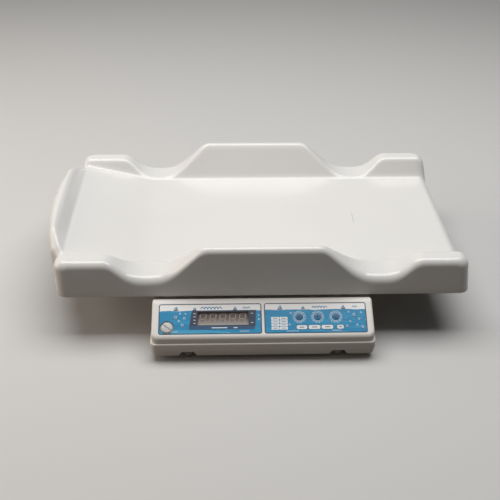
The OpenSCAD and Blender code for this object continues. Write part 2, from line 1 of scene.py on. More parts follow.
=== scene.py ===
"""The looks of a baby weighing scale, piece by piece in the order it is put together.

Meshes are drawn in millimetres in the maker's frame, whose middle is under the tray's middle.
"""

import math

import bmesh
import bpy
import numpy as np
from mathutils import Matrix, Vector


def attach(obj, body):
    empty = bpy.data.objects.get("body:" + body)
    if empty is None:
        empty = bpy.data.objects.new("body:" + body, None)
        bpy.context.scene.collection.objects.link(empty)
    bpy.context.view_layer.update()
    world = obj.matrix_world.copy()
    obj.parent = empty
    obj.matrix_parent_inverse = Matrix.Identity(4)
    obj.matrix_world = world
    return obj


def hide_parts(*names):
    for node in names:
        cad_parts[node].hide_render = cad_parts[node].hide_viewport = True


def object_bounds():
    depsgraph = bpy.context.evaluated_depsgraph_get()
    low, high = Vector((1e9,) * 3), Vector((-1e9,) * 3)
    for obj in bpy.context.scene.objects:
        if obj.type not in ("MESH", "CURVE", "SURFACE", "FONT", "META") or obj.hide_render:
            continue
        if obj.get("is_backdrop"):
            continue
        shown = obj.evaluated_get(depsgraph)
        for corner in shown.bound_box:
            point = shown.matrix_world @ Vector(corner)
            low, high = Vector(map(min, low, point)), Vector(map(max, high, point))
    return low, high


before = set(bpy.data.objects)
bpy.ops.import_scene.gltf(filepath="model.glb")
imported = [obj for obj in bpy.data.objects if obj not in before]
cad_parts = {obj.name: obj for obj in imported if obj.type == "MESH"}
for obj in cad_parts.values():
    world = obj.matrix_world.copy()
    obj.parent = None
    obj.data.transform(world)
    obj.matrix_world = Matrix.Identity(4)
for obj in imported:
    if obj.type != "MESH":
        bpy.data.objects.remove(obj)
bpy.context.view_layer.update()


# ---------------------------------------------------------------------------------------------
# Levelling feet
# Four screws turned by fingertip: ribbed acetal knobs moulded round threaded stems, each turning
# in a rubber pad that grips the table. The front ones show through notches in the lower case.
# ---------------------------------------------------------------------------------------------

def linear(hex_colour):
    """An sRGB hex colour as linear red, green, blue and alpha."""
    parts = [int(hex_colour[k:k + 2], 16) / 255 for k in (0, 2, 4)]
    return [p / 12.92 if p <= 0.04045 else ((p + 0.055) / 1.055) ** 2.4 for p in parts] + [1.0]


def add(tree, kind, settings, links=None):
    """Adds a node to a material, with its settings and the sockets that feed it."""
    made = tree.nodes.new("ShaderNode" + kind)
    for key, value in settings.items():
        if isinstance(key, str) and key not in made.inputs:
            setattr(made, key, value)
        else:
            made.inputs[key].default_value = value
    for key, source in (links or {}).items():
        tree.links.new(source, made.inputs[key])
    return made


def begin(name, settings):
    """A new material: gives it, its tree, its principled shader and the object's coordinates."""
    material = bpy.data.materials.new(name)
    material.use_nodes = True
    tree = material.node_tree
    shader = tree.nodes["Principled BSDF"]
    for socket, value in settings.items():
        shader.inputs[socket].default_value = value
    return material, tree, shader, add(tree, "TexCoord", {}).outputs["Object"]


def noise(tree, place, size_mm, detail):
    """Noise whose patches have a size in millimetres."""
    made = add(tree, "TexNoise", {"Scale": 1000 / size_mm, "Detail": detail}, {"Vector": place})
    return made.outputs["Fac"]


def mixed(tree, share, low, high):
    """The mix of two colours, each a hex colour or a socket, by a share."""
    mix = add(tree, "Mix", {"data_type": "RGBA"}, {0: share})
    for socket, colour in ((6, low), (7, high)):
        if isinstance(colour, str):
            mix.inputs[socket].default_value = linear(colour)
        else:
            tree.links.new(colour, mix.inputs[socket])
    return mix.outputs[2]


def ranged(tree, value, low, high, start=0.0, end=1.0):
    """A value's range from start to end, laid onto the range from low to high."""
    spans = {"From Min": start, "From Max": end, "To Min": low, "To Max": high}
    return add(tree, "MapRange", spans, {"Value": value}).outputs["Result"]


def feed(tree, shader, tone, gloss, height, relief_mm):
    """Gives a shader its colour, its roughness and a relief of a depth in millimetres."""
    bump = add(tree, "Bump", {"Strength": 1.0, "Distance": relief_mm / 1000}, {"Height": height})
    tree.links.new(tone, shader.inputs["Base Color"])
    tree.links.new(gloss, shader.inputs["Roughness"])
    tree.links.new(bump.outputs["Normal"], shader.inputs["Normal"])


def mottled(name, settings, tones, patch_mm, grain_mm, relief_mm, rough):
    """A surface whose tone and gloss drift over patches, with a grain of its own relief."""
    material, tree, shader, place = begin(name, settings)
    patch = noise(tree, place, patch_mm, 3.0)
    grain = noise(tree, place, grain_mm, 2.0)
    feed(tree, shader, mixed(tree, patch, *tones), ranged(tree, patch, *rough, 0.3, 0.7),
         grain, relief_mm)
    return material


def dress(material, *names):
    """Gives CAD nodes their material."""
    for name in names:
        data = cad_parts[name].data
        data.materials.clear()
        data.materials.append(material)


FEET = (1, 2, 3, 4)

# Moulded grey rubber: dull, dusty in patches
grey_rubber = mottled("nitrile_rubber_moulded_grey", {"IOR": 1.52}, ("7d7975", "918d88"),
                      patch_mm=9, grain_mm=0.8, relief_mm=0.03, rough=(0.62, 0.8))
# Moulded acetal: milky grey with a soft sheen
grey_knob = mottled("acetal_moulded_grey", {"IOR": 1.48}, ("aeaaa4", "c3bfb9"),
                    patch_mm=12, grain_mm=0.9, relief_mm=0.015, rough=(0.34, 0.46))
dress(grey_rubber, *[f"foot_pad_{k}" for k in FEET])
dress(grey_knob, *[f"foot_screw_{k}" for k in FEET])


# ---------------------------------------------------------------------------------------------
# Base plate, its inserts and the load cell
# A laser-cut plate of zinc-plated sheet steel carries the milled aluminium bending beam. Turned
# brass inserts clamp the plate in the case and take the feet; spacers and screws hold the beam.
# ---------------------------------------------------------------------------------------------

LINE_STRETCH, CLOUD_MM = 60, 25


def drawn(name, settings, tones, line_mm, along, relief_mm, rough):
    """Metal with fine parallel lines left by a roller, brush or cutter, stretched along an axis."""
    material, tree, shader, place = begin(name, settings)
    stretch = [1000 / line_mm] * 3
    stretch[along] /= LINE_STRETCH
    lines_at = add(tree, "Mapping", {"Scale": stretch}, {"Vector": place})
    lines = add(tree, "TexNoise", {"Scale": 1.0, "Detail": 3.0}, {"Vector": lines_at.outputs[0]})
    cloud = noise(tree, place, CLOUD_MM, 3.0)
    feed(tree, shader, mixed(tree, cloud, *tones), ranged(tree, lines.outputs["Fac"], *rough),
         lines.outputs["Fac"], relief_mm)
    return material


# Zinc-plated sheet: cool grey with cloudy spangle and faint roller lines
zinc_sheet = drawn("steel_sheet_zinc_plated", {"Metallic": 1.0}, ("8d9092", "b3b6b7"),
                   line_mm=0.9, along=1, relief_mm=0.006, rough=(0.3, 0.5))
# Zinc-plated screws: brighter, with turning lines round the shank drawn as fine bands
zinc_screw = drawn("steel_screw_zinc_plated", {"Metallic": 1.0}, ("a2a5a7", "c6c8c9"),
                   line_mm=0.5, along=0, relief_mm=0.008, rough=(0.22, 0.38))
# Turned brass: warm yellow, bright, with lathe lines
turned_brass = drawn("brass_turned", {"Metallic": 1.0}, ("b58f45", "d3b266"),
                     line_mm=0.6, along=0, relief_mm=0.006, rough=(0.2, 0.34))
# Milled aluminium: pale satin with cutter lines along the beam
milled_aluminium = drawn("aluminium_milled", {"Metallic": 1.0}, ("b9bcbe", "d6d8d9"),
                         line_mm=0.7, along=0, relief_mm=0.006, rough=(0.24, 0.4))
dress(zinc_sheet, "base_plate", "cell_base_spacer", "cell_top_spacer")
dress(zinc_screw, "cell_base_screws", "overload_stop")
dress(turned_brass, "foot_inserts")
dress(milled_aluminium, "load_cell")


# ---------------------------------------------------------------------------------------------
# Lower case
# A tub injection-moulded in warm white ABS with a fine eroded grain. Its rim is a ledge for the
# cover, its foot band leans in under a step, and two flared notches let a fingertip to the feet.
# ---------------------------------------------------------------------------------------------

TRAY_LENGTH, TRAY_WIDTH, HEAD_BOW = 538.0, 320.0, 22.5
FOOT_FLARE, SIDE_FLARE = 6.0, 2.5
CASE_WIDTH, CASE_FRONT, CASE_BACK = 290.0, -218.5, 109.0
CASE_LOW, CASE_STEP, CASE_SPLIT = 7.0, 15.3, 27.0
CASE_CORNER, CASE_WALL = 8.0, 2.5
FOOT_X, FOOT_FRONT, FOOT_BACK = 97.0, -204.5, 85.0
# From the maker's frame in millimetres to the row frame
middle = Matrix.Translation(((HEAD_BOW - FOOT_FLARE) / 2,
                             -(CASE_FRONT + TRAY_WIDTH / 2 + SIDE_FLARE) / 2, 0))


def finish_shading(data, angle=32):
    """Smooth shading with sharp edges past an angle in degrees."""
    data.shade_smooth()
    data.set_sharp_from_angle(angle=math.radians(angle))


def piece(name, mesh, material, body, place=Matrix.Identity(4), closed=True):
    """Makes a piece from a mesh drawn in millimetres, and lets it ride on a body."""
    if closed:
        bmesh.ops.recalc_face_normals(mesh, faces=mesh.faces)
    bmesh.ops.transform(mesh, matrix=Matrix.Scale(0.001, 4) @ middle @ place, verts=mesh.verts)
    data = bpy.data.meshes.new(name)
    mesh.to_mesh(data)
    mesh.free()
    data.materials.append(material)
    finish_shading(data)
    made = bpy.data.objects.new(name, data)
    bpy.context.scene.collection.objects.link(made)
    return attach(made, body)


def carve(made, tool, place=Matrix.Identity(4), operation="DIFFERENCE"):
    """Cuts a mesh out of a piece, or joins it on, exactly."""
    bmesh.ops.recalc_face_normals(tool, faces=tool.faces)
    bmesh.ops.transform(tool, matrix=Matrix.Scale(0.001, 4) @ middle @ place, verts=tool.verts)
    data = bpy.data.meshes.new("tool")
    tool.to_mesh(data)
    tool.free()
    cutter = bpy.data.objects.new("tool", data)
    bpy.context.scene.collection.objects.link(cutter)
    step = made.modifiers.new("carve", "BOOLEAN")
    step.operation = operation
    step.solver = "EXACT"
    step.object = cutter
    bpy.context.view_layer.update()
    shaped = made.evaluated_get(bpy.context.evaluated_depsgraph_get())
    result = bpy.data.meshes.new_from_object(shaped)
    made.modifiers.remove(step)
    made.data = result
    bpy.data.objects.remove(cutter)
    finish_shading(result)


def arc(centre, radius, start, end, steps):
    """Points along an arc, angles in degrees."""
    angles = [math.radians(start + (end - start) * k / steps) for k in range(steps + 1)]
    return [(centre[0] + radius * math.cos(a), centre[1] + radius * math.sin(a)) for a in angles]


def rounded(low, high, radius, steps=8):
    """A rectangle with round corners, anticlockwise."""
    corners = [(high[0] - radius, high[1] - radius, 0), (low[0] + radius, high[1] - radius, 90),
               (low[0] + radius, low[1] + radius, 180), (high[0] - radius, low[1] + radius, 270)]
    return [p for x, y, a in corners for p in arc((x, y), radius, a, a + 90, steps)]


def softened(points, radii, steps=4):
    """An open line whose inner corners are rounded, each to its own radius."""
    line = [points[0]]
    for before, corner, after, radius in zip(points, points[1:], points[2:], radii):
        here = Vector(corner)
        back = (Vector(before) - here).normalized()
        ahead = (Vector(after) - here).normalized()
        turn = back.angle(ahead)
        run = radius / math.tan(turn / 2)
        centre = here + (back + ahead).normalized() * radius / math.sin(turn / 2)
        start, end = ((here + way * run - centre) / radius for way in (back, ahead))
        for k in range(steps + 1):
            line.append(tuple(centre + start.slerp(end, k / steps) * radius))
    return line + [points[-1]]


def loft(loops):
    """A closed solid through level loops with equal counts, capped at both ends."""
    mesh = bmesh.new()
    rings = [[mesh.verts.new(p) for p in loop] for loop in loops]
    for ring, following in zip(rings, rings[1:]):
        for k in range(len(ring)):
            m = (k + 1) % len(ring)
            mesh.faces.new((ring[k], ring[m], following[m], following[k]))
    mesh.faces.new(reversed(rings[0]))
    mesh.faces.new(rings[-1])
    return mesh


def rod(mesh, spot, low, high, radius, steps=48):
    """Adds an upright cylinder to a mesh."""
    ring = arc(spot, radius, 0, 360, steps)[:-1]
    prism(mesh, ring, low, high)


def prism(mesh, outline, low, high):
    """Adds a closed slab over an outline to a mesh."""
    under = [mesh.verts.new((x, y, low)) for x, y in outline]
    over = [mesh.verts.new((x, y, high)) for x, y in outline]
    mesh.faces.new(over)
    mesh.faces.new(reversed(under))
    for k in range(len(outline)):
        m = (k + 1) % len(outline)
        mesh.faces.new((under[k], under[m], over[m], over[k]))


# Eroded ABS: warm white, half matt. The mould's spark grain is about 0.1 mm and is drawn at
# 0.6 mm, so that its softening of the gloss shows
textured_abs = mottled("abs_moulded_eroded_warm_white", {"IOR": 1.54}, ("e3dfd8", "eeebe5"),
                       patch_mm=70, grain_mm=0.6, relief_mm=0.012, rough=(0.36, 0.46))

case_section = softened(
    [(12, CASE_LOW), (1.8, CASE_LOW), (1, CASE_STEP - 1), (1, CASE_STEP), (0, CASE_STEP),
     (0, CASE_SPLIT), (CASE_WALL + 2, CASE_SPLIT), (CASE_WALL + 2, CASE_LOW + CASE_WALL),
     (13, CASE_LOW + CASE_WALL)],
    [1.2, 0.3, 0.3, 0.4, 1.3, 0.4, 1.5])
case_loops = []
for inset, height in case_section:
    edge = rounded((inset - CASE_WIDTH / 2, CASE_FRONT + inset),
                   (CASE_WIDTH / 2 - inset, CASE_BACK - inset), max(CASE_CORNER - inset, 1.5))
    case_loops.append([(x, y, height) for x, y in edge])
lower_case = piece("lower_case_shell", loft(case_loops), textured_abs, "base")
foot_spots = [(x, y) for y in (FOOT_FRONT, FOOT_BACK) for x in (-FOOT_X, FOOT_X)]
bosses = bmesh.new()
for spot in foot_spots:
    rod(bosses, spot, CASE_LOW + 0.01, 16, 12)
carve(lower_case, bosses, operation="UNION")
pockets = bmesh.new()
for spot in foot_spots:
    rod(pockets, spot, CASE_LOW - 1, 13.5, 9)
carve(lower_case, pockets)
holes = bmesh.new()
for spot in foot_spots:
    rod(holes, spot, 12, 17, 6.5)
for spot in ((-135, -204), (0, -204), (135, -204), (-135, 95), (135, 95)):
    rod(holes, spot, CASE_LOW - 1, CASE_LOW + 1.6, 4.2)
carve(lower_case, holes)
# Finger notches: a flared opening with round upper corners, straight through the front wall
NOTCH_TOP, NOTCH_HALF_TOP, NOTCH_HALF_LOW = 14.0, 7.8, 11.2
notch_edge = softened(
    [(-NOTCH_HALF_LOW - 5, CASE_LOW - 1), (-NOTCH_HALF_LOW - 0.6, CASE_LOW + 0.1),
     (-NOTCH_HALF_TOP, NOTCH_TOP), (NOTCH_HALF_TOP, NOTCH_TOP),
     (NOTCH_HALF_LOW + 0.6, CASE_LOW + 0.1), (NOTCH_HALF_LOW + 5, CASE_LOW - 1)],
    [2.2, 1.2, 1.2, 2.2])
notches = bmesh.new()
for x in (-FOOT_X, FOOT_X):
    prism(notches, [(x + a, b) for a, b in notch_edge], 0, 24)
carve(lower_case, notches,
      Matrix.Translation((0, FOOT_FRONT, 0)) @ Matrix.Rotation(math.radians(90), 4, "X"))
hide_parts("lower_case")


# ---------------------------------------------------------------------------------------------
# Main board and wiring
# A glass-epoxy board on posts, with its chips, capacitors and adapter socket. A shielded lead
# comes from the load cell, and a flat ribbon goes forward to the panel.
# ---------------------------------------------------------------------------------------------

# Solder mask over glass epoxy: deep green and glossy, with the weave just showing through
solder_mask = mottled("glass_epoxy_board_green_mask", {"IOR": 1.55, "Coat Weight": 0.4},
                      ("12502c", "1c6638"), patch_mm=5, grain_mm=0.8, relief_mm=0.01,
                      rough=(0.25, 0.38))
# Moulded black epoxy and nylon of the parts: dull, slightly grey
black_mouldings = mottled("nylon_moulded_black", {"IOR": 1.53}, ("151516", "222224"),
                          patch_mm=4, grain_mm=0.5, relief_mm=0.02, rough=(0.45, 0.6))
# Extruded PVC jacket: dark grey, softly shining
pvc_jacket = mottled("pvc_extruded_grey", {"IOR": 1.53}, ("3c3f42", "4a4d51"),
                     patch_mm=10, grain_mm=1.2, relief_mm=0.02, rough=(0.38, 0.5))
# Ribbon cable: pale grey PVC over side-by-side strands, 1.27 mm apart, running along Y
STRAND_PITCH = 1.27
ribbon_pvc, tree, shader, place = begin("ribbon_cable_grey", {"IOR": 1.53, "Roughness": 0.45})
strands = add(tree, "TexWave", {"wave_type": "BANDS", "bands_direction": "X",
                                "Scale": 1000 / STRAND_PITCH / 20, "Distortion": 0.0},
              {"Vector": place}).outputs["Fac"]
bump = add(tree, "Bump", {"Strength": 1.0, "Distance": 0.0003}, {"Height": strands})
tree.links.new(mixed(tree, strands, "6d7176", "9ba0a5"), shader.inputs["Base Color"])
tree.links.new(bump.outputs["Normal"], shader.inputs["Normal"])
dress(solder_mask, "main_board", "panel_board")
dress(black_mouldings, "board_parts", "power_inlet", "key_switches")
dress(pvc_jacket, "cell_lead")
dress(ribbon_pvc, "panel_ribbon")
dress(zinc_screw, "case_screws", "board_screws")


# ---------------------------------------------------------------------------------------------
# Upper cover
# The other half of the housing, moulded in the same ABS: a sloping console, a narrow lip behind
# it and a low deck under the tray. Shallow recesses take the printed labels flush.
# ---------------------------------------------------------------------------------------------

COVER_INSET, EDGE_ROUND = 2.0, 3.2
COVER_FRONT, COVER_BACK = CASE_FRONT + COVER_INSET, CASE_BACK - COVER_INSET
PANEL_Y, PANEL_Z, PANEL_ANGLE = CASE_FRONT + 6.3, 38.2, math.radians(30)
LIP_Z, LIP_BACK, DECK_Z = 61.2, -166.7, 53.0
LABEL_GAP, LABEL_EDGE, LABEL_TOP, FILM = 1.6, 134.0, 42.3, 0.4
WINDOW = ((-84, 12.5), (-18.6, 31))
KEY_SPOTS, KEY_RADIUS = [(46.8, 22.5), (70.5, 22.5), (94.1, 22.5)], 4.7
LAMP_SPOTS = [(-89, 28), (-89, 22), (-89, 16), (-13.5, 28), (-13.5, 16)]
PLUG_SPOT, PLUG_RADIUS = (-123, 9.8), 7.0
# The panel's own frame: x across, y up the slope, z out of it
panel = Matrix.Translation((0, PANEL_Y, PANEL_Z)) @ Matrix.Rotation(PANEL_ANGLE, 4, "X")


def soft_max(a, b, k):
    """The higher of two values, their turn softened over k."""
    return np.maximum(a, b) + np.maximum(k - np.abs(a - b), 0) ** 2 / (4 * k)


def soft_min(a, b, k):
    """The lower of two values, their turn softened over k."""
    return np.minimum(a, b) - np.maximum(k - np.abs(a - b), 0) ** 2 / (4 * k)


def edge_steps(radius, count=8):
    """Distances from an edge at which its rounding is cut into even angles."""
    return [radius * (1 - math.cos(math.radians(90 * k / count))) for k in range(count + 1)]


def plan_grid(stations, rows, half_x, half_y, corner, inset):
    """Grid points of a plan with round corners, drawn in by an inset, and their edge gaps."""
    x, y = np.meshgrid(stations, rows, indexing="ij")
    x = x * (half_x - inset) / half_x
    r = corner - inset
    over = np.abs(x) - (half_x - inset - r)
    reach = half_y - inset - np.where(over > 0, r - np.sqrt(np.maximum(r * r - over ** 2, 0)), 0)
    y = y / half_y * reach
    across, along = over, np.abs(y) - (half_y - inset - r)
    gap = np.where((across > 0) & (along > 0), r - np.hypot(across, along),
                   np.minimum(half_x - inset - np.abs(x), half_y - inset - np.abs(y)))
    return x, y, np.maximum(gap, 0)


def edge_drop(gap, radius):
    """How far a round edge has dropped at a gap from the edge."""
    return np.where(gap >= radius, 0, radius - np.sqrt(np.maximum(radius ** 2 - (radius - gap) ** 2, 0)))


def rim_loop(shape):
    """Indices of a grid's outer points, once round."""
    nx, ny = shape
    return ([i * ny for i in range(nx)] + [(nx - 1) * ny + j for j in range(1, ny)]
            + [i * ny + ny - 1 for i in range(nx - 2, -1, -1)] + list(range(ny - 2, 0, -1)))


def straight_down(point, height):
    return point.x, point.y


def shell(outer, inner, skirts, way_down=straight_down):
    """A closed shell between two grids of points. The skirts that join their rims are loops, each
    at a height and at a share of the way from the outer wall to the inner one."""
    mesh = bmesh.new()
    nx, ny = outer[0].shape
    sheets = []
    for x, y, z in (outer, inner):
        sheets.append([mesh.verts.new(p) for p in zip(x.ravel(), y.ravel(), z.ravel())])
    for i in range(nx - 1):
        for j in range(ny - 1):
            a = i * ny + j
            quad = (a, a + ny, a + ny + 1, a + 1)
            mesh.faces.new([sheets[0][k] for k in quad])
            mesh.faces.new([sheets[1][k] for k in reversed(quad)])
    rim = rim_loop((nx, ny))
    loops = [[sheets[0][k] for k in rim]]
    for height, share in skirts:
        loop = []
        for k in rim:
            outside = Vector(way_down(sheets[0][k].co, height))
            inside = Vector(way_down(sheets[1][k].co, height))
            loop.append(mesh.verts.new((*outside.lerp(inside, share), height)))
        loops.append(loop)
    loops.append([sheets[1][k] for k in rim])
    for loop, following in zip(loops, loops[1:]):
        for k in range(len(rim)):
            m = (k + 1) % len(rim)
            mesh.faces.new((loop[k], loop[m], following[m], following[k]))
    return mesh


def cover_top(y):
    """Height of the cover over the middle: panel, lip, bevel and deck, with soft turns."""
    slope = PANEL_Z + (y - PANEL_Y) * math.tan(PANEL_ANGLE)
    bevel = soft_max(LIP_Z - (y - LIP_BACK), DECK_Z, 2.4)
    return soft_min(soft_min(slope, LIP_Z, 1.6), bevel, 2.4)


cover_half = CASE_WIDTH / 2 - COVER_INSET
cover_depth = (COVER_BACK - COVER_FRONT) / 2
cover_middle = (COVER_BACK + COVER_FRONT) / 2
ends = edge_steps(EDGE_ROUND)
stations = ([d - cover_half for d in ends + [5.5, 8, 14]] + list(np.linspace(-120, 120, 13))
            + [cover_half - d for d in reversed(ends + [5.5, 8, 14])])
rows = ([d - cover_depth for d in ends + [5, 8, 20, 32]]
        + list(np.arange(-181, -154, 0.9) - cover_middle)
        + list(np.linspace(-148, 95, 12) - cover_middle)
        + [cover_depth - d for d in reversed(ends + [5, 8])])
sheets = []
for skin in (0, CASE_WALL):
    x, y, gap = plan_grid(stations, rows, cover_half, cover_depth, CASE_CORNER, skin)
    top = cover_top(y + cover_middle) - skin * 1.15
    sheets.append((x, y + cover_middle, top - edge_drop(gap, EDGE_ROUND - skin)))
foot = CASE_SPLIT
cover_skirt = [(foot + 4.5, 0), (foot + 0.7, 0), (foot + 0.3, 0.04), (foot + 0.05, 0.2), (foot + 0.05, 0.9)]
upper_cover = piece("upper_cover_shell", shell(*sheets, cover_skirt), textured_abs, "base")
recesses = bmesh.new()
for low, high in ((-LABEL_EDGE, -LABEL_GAP), (LABEL_GAP, LABEL_EDGE)):
    prism(recesses, rounded((low, 0), (high, LABEL_TOP), 3), -FILM, 4)
carve(upper_cover, recesses, panel)
openings = bmesh.new()
(wx0, wy0), (wx1, wy1) = WINDOW
prism(openings, [(wx0 - 1.5, wy0 - 1.5), (wx1 + 1.5, wy0 - 1.5), (wx1 + 1.5, wy1 + 1.5),
                 (wx0 - 1.5, wy1 + 1.5)], -6, 1)
for spot in KEY_SPOTS:
    rod(openings, spot, -6, 1, KEY_RADIUS + 0.3)
for spot in LAMP_SPOTS:
    rod(openings, spot, -6, 1, 1.6, 24)
rod(openings, PLUG_SPOT, -9, 1, 4.2)
carve(upper_cover, openings, panel)
seat = bmesh.new()
rod(seat, PLUG_SPOT, -1.7, 2, PLUG_RADIUS + 1.2, 64)
carve(upper_cover, seat, panel)
boss_hole = bmesh.new()
rod(boss_hole, (50, 0), DECK_Z - 6, DECK_Z + 2, 20, 96)
carve(upper_cover, boss_hole)
INLET_X, INLET_Z = 40.0, 37.0
inlet_hole = bmesh.new()
rod(inlet_hole, (INLET_X, -INLET_Z), COVER_BACK - 8, COVER_BACK + 2, 4.2)
carve(upper_cover, inlet_hole, Matrix.Rotation(math.radians(-90), 4, "X"))
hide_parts("upper_cover")


# ---------------------------------------------------------------------------------------------
# Display
# Five seven-segment LED digits and five small lamps on the panel board, behind a smoke-tinted
# acrylic lens. Switched off, the segments show as paler bars on the grey-brown faces.
# ---------------------------------------------------------------------------------------------

DIGIT_PITCH, DIGIT_MIDDLE, DIGIT_FACE = 12.7, (-51.4, 22.2), -3.0
DIGIT_HEIGHT, DIGIT_WIDTH, BAR, LEAN = 14.2, 7.4, 1.35, math.radians(9)

# Painted digit faces: grey-brown and dull
digit_face = mottled("polycarbonate_digit_face_grey", {"IOR": 1.58}, ("7a6c64", "867870"),
                     patch_mm=9, grain_mm=0.6, relief_mm=0.003, rough=(0.5, 0.62))
# Unlit segments: milky resin light pipes, paler than the face
milky_resin = mottled("epoxy_segment_milky", {"IOR": 1.55}, ("f0d2c6", "f6ddd2"),
                      patch_mm=3, grain_mm=0.5, relief_mm=0.004, rough=(0.3, 0.42))
# Lamp resin: tinted red and clear, unlit
lamp_resin = mottled("epoxy_lamp_red", {"IOR": 1.55, "Coat Weight": 0.5}, ("5a1512", "701d18"),
                     patch_mm=2, grain_mm=0.4, relief_mm=0.004, rough=(0.15, 0.25))
dress(digit_face, "led_digits")
dress(lamp_resin, "status_lamps")

half_w, half_h = DIGIT_WIDTH / 2, DIGIT_HEIGHT / 2
bars = [((-half_w, half_h), (half_w, half_h)), ((-half_w, 0), (half_w, 0)),
        ((-half_w, -half_h), (half_w, -half_h)),
        ((-half_w, 0), (-half_w, half_h)), ((half_w, 0), (half_w, half_h)),
        ((-half_w, -half_h), (-half_w, 0)), ((half_w, -half_h), (half_w, 0))]
segments = bmesh.new()
for k in range(-2, 3):
    centre = (DIGIT_MIDDLE[0] + k * DIGIT_PITCH - 0.7, DIGIT_MIDDLE[1])
    for start, end in bars:
        a, b = Vector(start), Vector(end)
        ahead = (b - a).normalized()
        aside = ahead.orthogonal() * BAR / 2
        a, b = a + ahead * 0.25, b - ahead * 0.25
        point = ahead * BAR / 2
        outline = [a, a + point + aside, b - point + aside, b, b - point - aside, a + point - aside]
        leant = [(centre[0] + p.x + p.y * math.tan(LEAN), centre[1] + p.y) for p in outline]
        prism(segments, leant, DIGIT_FACE - 0.2, DIGIT_FACE + 0.05)
    dot = (centre[0] + half_w + 0.9, centre[1] - half_h)
    rod(segments, dot, DIGIT_FACE - 0.2, DIGIT_FACE + 0.05, 0.75, 24)
piece("digit_segments", segments, milky_resin, "base", panel)

# Cast acrylic, smoke-tinted: see-through brown-grey, polished, with a very slight ripple. Towards its lower
# edge a painted reflection makes it paler and less see-through.
smoked_acrylic, tree, shader, place = begin("acrylic_cast_smoke", {"IOR": 1.49})
low_edge, high_edge = [(middle @ panel @ Vector((0, v, 0))).z / 1000 for v in (wy0, wy1)]
height = add(tree, "SeparateXYZ", {}, {"Vector": place}).outputs["Z"]
# Painted reflection: the lens turns pale and more opaque from 60 % of the window's height down to its lower
# edge
REFLECTION_FROM_SHARE = 0.6
painted_reflection = ranged(tree, height, 0, 1, low_edge + (high_edge - low_edge) * REFLECTION_FROM_SHARE, low_edge)
tree.links.new(ranged(tree, painted_reflection, 0.22, 0.5), shader.inputs["Alpha"])
feed(tree, shader, mixed(tree, painted_reflection, "5c524d", "c9c3bf"),
     ranged(tree, noise(tree, place, 8, 4.0), 0.06, 0.2), noise(tree, place, 30, 1.0), 0.1)
dress(smoked_acrylic, "display_window")


# ---------------------------------------------------------------------------------------------
# Printed labels
# Two polyester films, printed and glued flush into the cover: a white strip over clear blue
# water with pale streaks and specks, a navy border, and generic motifs in navy, white and teal.
# ---------------------------------------------------------------------------------------------

INK = 0.02
HORIZON = 32.6

# Satin polyester film, printed from behind: a soft sheen over a deep blue
printed_film, tree, shader, place = begin("polyester_film_satin_printed", {"IOR": 1.55})
to_panel = (middle @ panel).inverted()
flat = add(tree, "Mapping", {"Scale": (1000, 1000, 1000)}, {"Vector": place})
on_panel = add(tree, "Mapping", {"Rotation": to_panel.to_euler(), "Location": to_panel.to_translation()},
               {"Vector": flat.outputs[0]}).outputs[0]
up_panel = add(tree, "SeparateXYZ", {}, {"Vector": on_panel}).outputs["Y"]
stretched = add(tree, "Mapping", {"Scale": (1 / 60, 1 / 5, 1 / 5)}, {"Vector": on_panel})
streak = add(tree, "TexNoise", {"Scale": 1.0, "Detail": 3.0, "Distortion": 0.6},
             {"Vector": stretched.outputs[0]}).outputs["Fac"]
streak_share = add(tree, "Math", {"operation": "MULTIPLY"},
                   {0: ranged(tree, streak, 0, 1, 0.5, 0.68), 1: ranged(tree, up_panel, 0.85, 0.12, 0, 12)})
specks = add(tree, "TexVoronoi", {"feature": "F1", "Scale": 1 / 7.5, "Randomness": 1.0},
             {"Vector": on_panel})
speck_mask = ranged(tree, specks.outputs["Distance"], 0, 1, 0.075, 0.05)
blue = mixed(tree, streak, "007cac", "0096c8")
water = mixed(tree, streak_share.outputs[0], blue, "64c2e0")
specked = mixed(tree, speck_mask, water, "bfe4f0")
swell = add(tree, "TexNoise", {"noise_dimensions": "2D", "Scale": 1 / 14, "Detail": 1.0},
            {"Vector": on_panel})
level = add(tree, "Math", {"operation": "ADD"},
            {0: up_panel, 1: ranged(tree, swell.outputs["Fac"], -1, 1)})
strip = ranged(tree, level.outputs[0], 0, 1, HORIZON - 0.3, HORIZON + 0.3)
orange_peel = noise(tree, place, 1.5, 2.0)
feed(tree, shader, mixed(tree, strip, specked, "f6f5f3"), ranged(tree, orange_peel, 0.2, 0.3),
     orange_peel, 0.01)
dress(printed_film, "overlay_left", "overlay_right")


def ribbon(mesh, points, width, low, high, closed=False):
    """Adds a printed line of even width along points."""
    count = len(points)
    left, right = [], []
    for k in range(count):
        here = Vector(points[k])
        before = Vector(points[k - 1]) if closed or k else here
        after = Vector(points[(k + 1) % count]) if closed or k < count - 1 else here
        ways = [w.normalized() for w in (here - before, after - here) if w.length > 1e-6]
        ahead = sum(ways, Vector((0, 0))).normalized()
        aside = Vector((-ahead.y, ahead.x)) * width / 2 / max(ahead.dot(ways[0]), 0.5)
        left.append(here + aside)
        right.append(here - aside)
    corners = [[mesh.verts.new((p.x, p.y, z)) for p in side] for z in (low, high) for side in (left, right)]
    low_left, low_right, high_left, high_right = corners
    for k in range(count if closed else count - 1):
        m = (k + 1) % count
        mesh.faces.new((high_left[k], high_right[k], high_right[m], high_left[m]))
        mesh.faces.new((low_left[k], low_left[m], low_right[m], low_right[k]))
        mesh.faces.new((low_left[k], high_left[k], high_left[m], low_left[m]))
        mesh.faces.new((low_right[k], low_right[m], high_right[m], high_right[k]))
    if not closed:
        for k in (0, -1):
            mesh.faces.new((low_left[k], low_right[k], high_right[k], high_left[k]))


def ink(name, hex_pair):
    """Screen ink on film: an even coat with a slightly dull surface and faint mottling."""
    return mottled(name, {"IOR": 1.5}, hex_pair, patch_mm=6, grain_mm=0.9, relief_mm=0.004,
                   rough=(0.34, 0.44))


